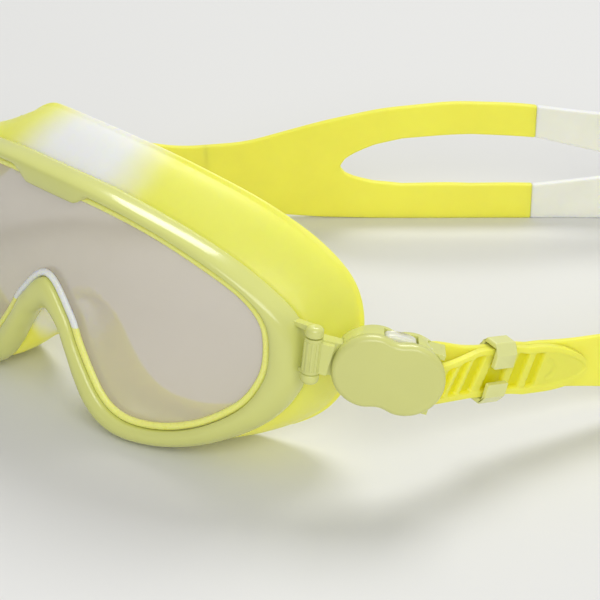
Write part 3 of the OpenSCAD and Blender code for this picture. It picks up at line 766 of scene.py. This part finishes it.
# ---------------------------------------------------------------- release buttons
for side in SIDES:
    for which, sign in (("upper", 1), ("lower", -1)):
        base = TONGUE_W / 2 + 2.2
        rings = []
        for t, g in ((0.0, 0.25), (0.25, 0.0), (3.0, 0.0), (3.7, 0.12), (4.15, 0.5), (4.4, 1.1)):
            hx, hy = BUTTON_W / 2 - g, BUTTON_D / 2 - g * 0.8
            ring = []
            for a in np.linspace(0, 2 * math.pi, 40, endpoint=False):
                c, s = math.cos(a), math.sin(a)
                e = 0.28
                px = hx * math.copysign(abs(c) ** e, c)
                py = hy * math.copysign(abs(s) ** e, s)
                crown = 0.9 * (1 - (px / hx) ** 2) * (t / 4.4) ** 2
                ring.append((BUTTON_X + px, BUTTON_Y + BUTTON_D / 2 + py, sign * (base + t + crown * 0.6)))
            rings.append(on_clip(side, ring))
        parts = [rings_mesh(rings, False)]
        for x0 in (0.0, BUTTON_W - 1.6):
            leg = BUTTON_X - BUTTON_W / 2 + x0
            v, f = boxed((leg, BUTTON_Y, TONGUE_W / 2 + 1), (leg + 1.6, BUTTON_Y + BUTTON_D, base + 0.4))
            parts.append((on_clip(side, np.array(v) * (1, 1, sign)), f))
        v, f = joined(*parts)
        node = "button_" + which + "_" + side
        make("release_" + node, v, f, button_mat.m, side + "_" + which + "_button", [node],
             sharp=42)

# ---------------------------------------------------------------- strap
def relief_side(s, h, lo, hi, gap_lo, gap_hi):
    """How far the outer face stands out at s and height h: raised borders, and three grooves."""
    d = from_bar(s)
    edge = min(h - lo, hi - h)
    r = BORDER_RISE * (1 - smooth(0.9, 1.7, edge)) * smooth(70, 90, d)
    if gap_lo is not None:
        e = min(abs(h - gap_lo), abs(h - gap_hi))
        r += BORDER_RISE * (1 - smooth(0.9, 1.7, e))
    elif d > 100:
        # border round the end of the gap
        dist = math.hypot(max(SPLIT_AT - d, 0), max(abs(h - RISE) - 0.5, 0))
        r += BORDER_RISE * (1 - smooth(0.9, 1.9, dist)) if dist < 3 else 0
    if abs(h) < 6.0:
        for k in range(3):
            r -= 0.35 * (1 - smooth(0.35, 0.75, abs(d - 72.5 - 3.4 * k)))
    return r


STRAP_STEP = 1.1


def split_strap(name, s0, s1, material, split_s, relief, open_ends=()):
    """One length of the strap: a single band, and where it is split two with the gap between."""
    n = int((s1 - s0) / STRAP_STEP)
    ss = list(np.linspace(s0, s1, n + 1))
    if split_s is not None:
        ss = sorted(set(ss + [split_s, split_s + 0.3, split_s + 0.7, split_s + 1.2]))
    cols = 14
    verts, faces = [], []
    index = {}

    def vert(key, p):
        if key not in index:
            index[key] = len(verts)
            verts.append(p)
        return index[key]

    rows = []
    for i, s in enumerate(ss):
        place, _, inw, up = strap_frame(s)
        d = from_bar(s)
        hh = half_h(s)
        top = hh + 1.2 * (1 - smooth(3, 14, d))
        g = half_gap(s) if d > SPLIT_AT else 0.0
        open_gap = d > SPLIT_AT + 1e-6
        t = layer(s)
        row = {"open": open_gap}
        for band, (a, b) in (("lo", (-hh, RISE - g)), ("up", (RISE + g, top))):
            for j in range(cols + 1):
                v = j / cols
                h = a + (b - a) * v
                gap = (RISE - g, RISE + g) if open_gap else (None, None)
                r = relief(s, h, -hh, top, *gap)
                middle = (band == "lo" and j == cols) or (band == "up" and j == 0)
                tag = "mid" if (middle and not open_gap) else band + str(j)
                for face, off in (("o", t - STRAP_T / 2 - r), ("i", t + STRAP_T / 2)):
                    row[(band, j, face)] = vert((i, tag, face), place + h * up + off * inw)
        rows.append(row)
    for a, b in zip(rows[:-1], rows[1:]):
        for band in ("lo", "up"):
            for face in ("o", "i"):
                for j in range(cols):
                    faces.append((a[(band, j, face)], a[(band, j + 1, face)],
                                  b[(band, j + 1, face)], b[(band, j, face)]))
        sides = [("lo", 0), ("up", cols)]
        if a["open"] or b["open"]:
            sides += [("lo", cols), ("up", 0)]
        for band, j in sides:
            faces.append((a[(band, j, "o")], a[(band, j, "i")], b[(band, j, "i")], b[(band, j, "o")]))
    for row in [rows[k] for k in (0, -1) if k not in open_ends]:
        for band in ("lo", "up"):
            for j in range(cols):
                faces.append((row[(band, j, "o")], row[(band, j + 1, "o")],
                              row[(band, j + 1, "i")], row[(band, j, "i")]))
    faces = [tuple(dict.fromkeys(f)) for f in faces]
    faces = [f for f in faces if len(f) > 2]
    obj = make(name, verts, faces, material, sharp=50)
    return rounded(obj, 0.55, 3, 50)


def world_point(s):
    """The middle of the strap at s, in metres."""
    return tuple(strap_frame(s)[0] * MM)


def measured(side):
    """Turns a distance from this side's bar into a distance along the whole route."""
    return (lambda d: d) if side == "left" else (lambda d: ROUTE_L - d)


# Distance from a bar at which the strap's near and far pieces meet, both with open ends there
MEET = 88.0
for side in SIDES:
    at = measured(side)
    first, last = (0, -1) if side == "left" else (-1, 0)
    a, b = sorted((at(0.1), at(MEET)))
    piece = split_strap("strap_near_" + side, a, b, yellow.m, None, relief_side, (last,))
    world_point(at(56))
    world_point(at(MEET - 2))
    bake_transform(piece)
    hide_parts("strap_side_" + side)
    a, b = sorted((at(MEET), at(WHITE_AT)))
    piece = split_strap("strap_far_" + side, a, b, yellow.m, at(SPLIT_AT),
                        relief_side, (first,))
    world_point(at(MEET + 1))
    world_point(at(170))
    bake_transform(piece)
    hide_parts("strap_side_" + side)


def relief_rear(s, h, lo, hi, gap_lo, gap_hi):
    """Raised borders on the rear bands, and three staggered grooves along each."""
    e = min(abs(h - gap_lo), abs(h - gap_hi), h - lo, hi - h)
    r = BORDER_RISE * (1 - smooth(0.9, 1.7, e))
    d = from_bar(s)
    band = (lo, gap_lo) if h < RISE else (gap_hi, hi)
    v = (h - band[0]) / (band[1] - band[0])
    for k in range(3):
        begin = WHITE_AT + 3 + 7 * (2 - k if h > RISE else k)
        groove = 1 - smooth(0.035, 0.075, abs(v - (0.3 + 0.2 * k)))
        r -= 0.4 * groove * float(smooth(begin, begin + 3, d))
    return r


rear = split_strap("strap_rear_bands", WHITE_AT, ROUTE_L - WHITE_AT, white.m, None,
                   relief_rear)
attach(rear, "mask")
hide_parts("strap_rear_upper", "strap_rear_lower")

# Tails: half a turn round the bar, then a ladder of slanted rungs in a raised border, and a long tip
BORDER, TAIL_DIP = 1.9, 3.0
HOLLOWS = ((4.8, 7.4), (9.3, 12.2), (14.0, 18.0), (21.5, 28.5), (31.6, 35.2), (37.8, 40.6))
SLANT, TIP_END = -0.22, 18.0


def tail_top(k):
    """The tail's upper edge dips at the bar and meets the strap's at the keeper."""
    return HALF_W - TAIL_DIP * (1 - float(smooth(3, 20, k)))


def hollow_depth(k, h, lo, hi):
    """0 on the border and the rungs, 1 in the hollows between them; it sets their depth and where their
    painted shade goes.
    """
    lane = min(h - lo, hi - h) - BORDER * (1 + 0.5 * float(smooth(28, 46, k)))
    at_rung = k + SLANT * h
    return float(max(smooth(a - 0.3, a + 0.3, at_rung) * (1 - smooth(b - 0.3, b + 0.3, at_rung))
                     for a, b in HOLLOWS)) * float(smooth(-0.3, 0.3, lane))


def arc_mark(k, h):
    """A shallow arc beyond the last hollow."""
    return 0.3 * float(1 - smooth(0.4, 0.9, abs(math.hypot(k - 42.0, h * 1.1) - 3.6))) * (k > 43)


TURN = np.linspace(0, math.pi, 13)[:-1]
END = TAIL_L - 3 + 3 * np.sin(np.linspace(0, math.pi / 2, 9))[:-1] * 0.985
LENGTHS = np.concatenate([np.arange(0.1, TAIL_L - 3, 0.45), END])
for side in SIDES:
    at = measured(side)
    sign = 1 if side == "left" else -1
    cols = 40
    sections, shades = [], []
    for a in TURN:
        place, run, _, up = strap_frame(at(0.1))
        run = run - run.dot(up) * up
        run /= np.linalg.norm(run)
        d = np.cross(up, run) * math.cos(a) - sign * run * math.sin(a)
        r0, r1 = BAR_R + BAR_GAP, BAR_R + BAR_GAP + STRAP_T
        hs = np.linspace(-HALF_W, HALF_W - TAIL_DIP * (0.5 - 0.5 * math.cos(a)), cols + 1)
        outer = [place + up * h + d * r1 for h in hs]
        sections.append(np.array(outer + [place + up * h + d * r0 for h in hs[::-1]]))
        shades += [0.0] * (2 * cols + 2)
    for k in LENGTHS:
        place, _, inw, up = strap_frame(at(k))
        e = min((TAIL_L - k) / TIP_END, 1)
        narrow = math.sqrt(max(1 - (1 - e) ** 2.0, 0.02))
        lo, hi = -HALF_W * narrow, tail_top(k) * narrow
        t = -layer(at(k))
        hs = np.linspace(lo, hi, cols + 1)
        deep = [hollow_depth(k, h, lo, hi) for h in hs]
        step_in = [0.35 * float(smooth(BORDER, BORDER + 0.5, min(h - lo, hi - h))) for h in hs]
        outer = [place + h * up + (t - STRAP_T / 2 + 1.05 * w + arc_mark(k, h) + inset) * inw
                 for h, w, inset in zip(hs, deep, step_in)]
        back = [place + h * up + (t + STRAP_T / 2) * inw for h in hs[::-1]]
        sections.append(np.array(outer + back))
        shades += deep + [0.0] * (cols + 1)
    v, f = rings_mesh(sections, False)
    tail = make("strap_tail_end_" + side, v, f, tail_mat.m, side + "_buckle", ["strap_tail_" + side],
                merge=False, sharp=50)
    # A per-point mask of the painted shade in the hollows, 1 in them and 0 elsewhere
    layer_data = tail.data.attributes.new("painted_hollow_shade", "FLOAT", "POINT")
    layer_data.data.foreach_set("value", [float(w) for w in shades])
    bm = bmesh.new()
    bm.from_mesh(tail.data)
    bmesh.ops.recalc_face_normals(bm, faces=bm.faces)
    bm.to_mesh(tail.data)
    bm.free()
    rounded(tail, 0.4, 2, 50)

# ---------------------------------------------------------------- floor, light and camera
floor_mesh = bpy.data.meshes.new("floor")
floor_mesh.from_pydata([(-6, -6, 0), (6, -6, 0), (6, 6, 0), (-6, 6, 0)], [], [(0, 1, 2, 3)])
floor = bpy.data.objects.new("floor", floor_mesh)
bpy.context.scene.collection.objects.link(floor)
floor_mat = Mat("floor_pale")
pale = floor_mat.mixed(floor_mat.noise(3, 2), srgb(222, 222, 220), srgb(226, 226, 224))
floor_mat.set(Base_Color=pale, Roughness=0.65)
floor.data.materials.append(floor_mat.m)

world = bpy.data.worlds.new("studio")
bpy.context.scene.world = world
world.use_nodes = True
world.node_tree.nodes["Background"].inputs[0].default_value = (1.0, 1.0, 1.0, 1)
world.node_tree.nodes["Background"].inputs[1].default_value = 0.43

mask_mid = np.array([ORIGIN[0] + 40, ORIGIN[1] + 60, 20]) * MM


def area(name, place, size, power):
    """A soft rectangular light that faces the mask."""
    light = bpy.data.lights.new(name, "AREA")
    light.shape = "RECTANGLE"
    light.size, light.size_y = size
    light.energy = power
    obj = bpy.data.objects.new(name, light)
    bpy.context.scene.collection.objects.link(obj)
    obj.location = place
    direction = Vector(mask_mid) - Vector(place)
    obj.rotation_euler = direction.to_track_quat("-Z", "Y").to_euler()


area("key", (-0.35, 0.75, 1.25), (0.7, 0.6), 11)
area("fill", (0.9, -0.7, 0.9), (1.0, 0.8), 9)

AZ, EL = math.radians(42.0), math.radians(31.25)
camera_data = bpy.data.cameras.new("camera")
camera_data.lens, camera_data.sensor_width = 132.0, 36.0
camera_data.clip_start = 0.01
camera = bpy.data.objects.new("camera", camera_data)
bpy.context.scene.collection.objects.link(camera)
camera.location = Vector((439.36 + ORIGIN[0], -367.46 + ORIGIN[1], 381.11 + 0.7)) * MM
look = Vector((-math.sin(AZ) * math.cos(EL), math.cos(AZ) * math.cos(EL), -math.sin(EL)))
camera.rotation_euler = look.to_track_quat("-Z", "Y").to_euler()
bpy.context.scene.camera = camera
bpy.context.scene.view_settings.view_transform = "Standard"
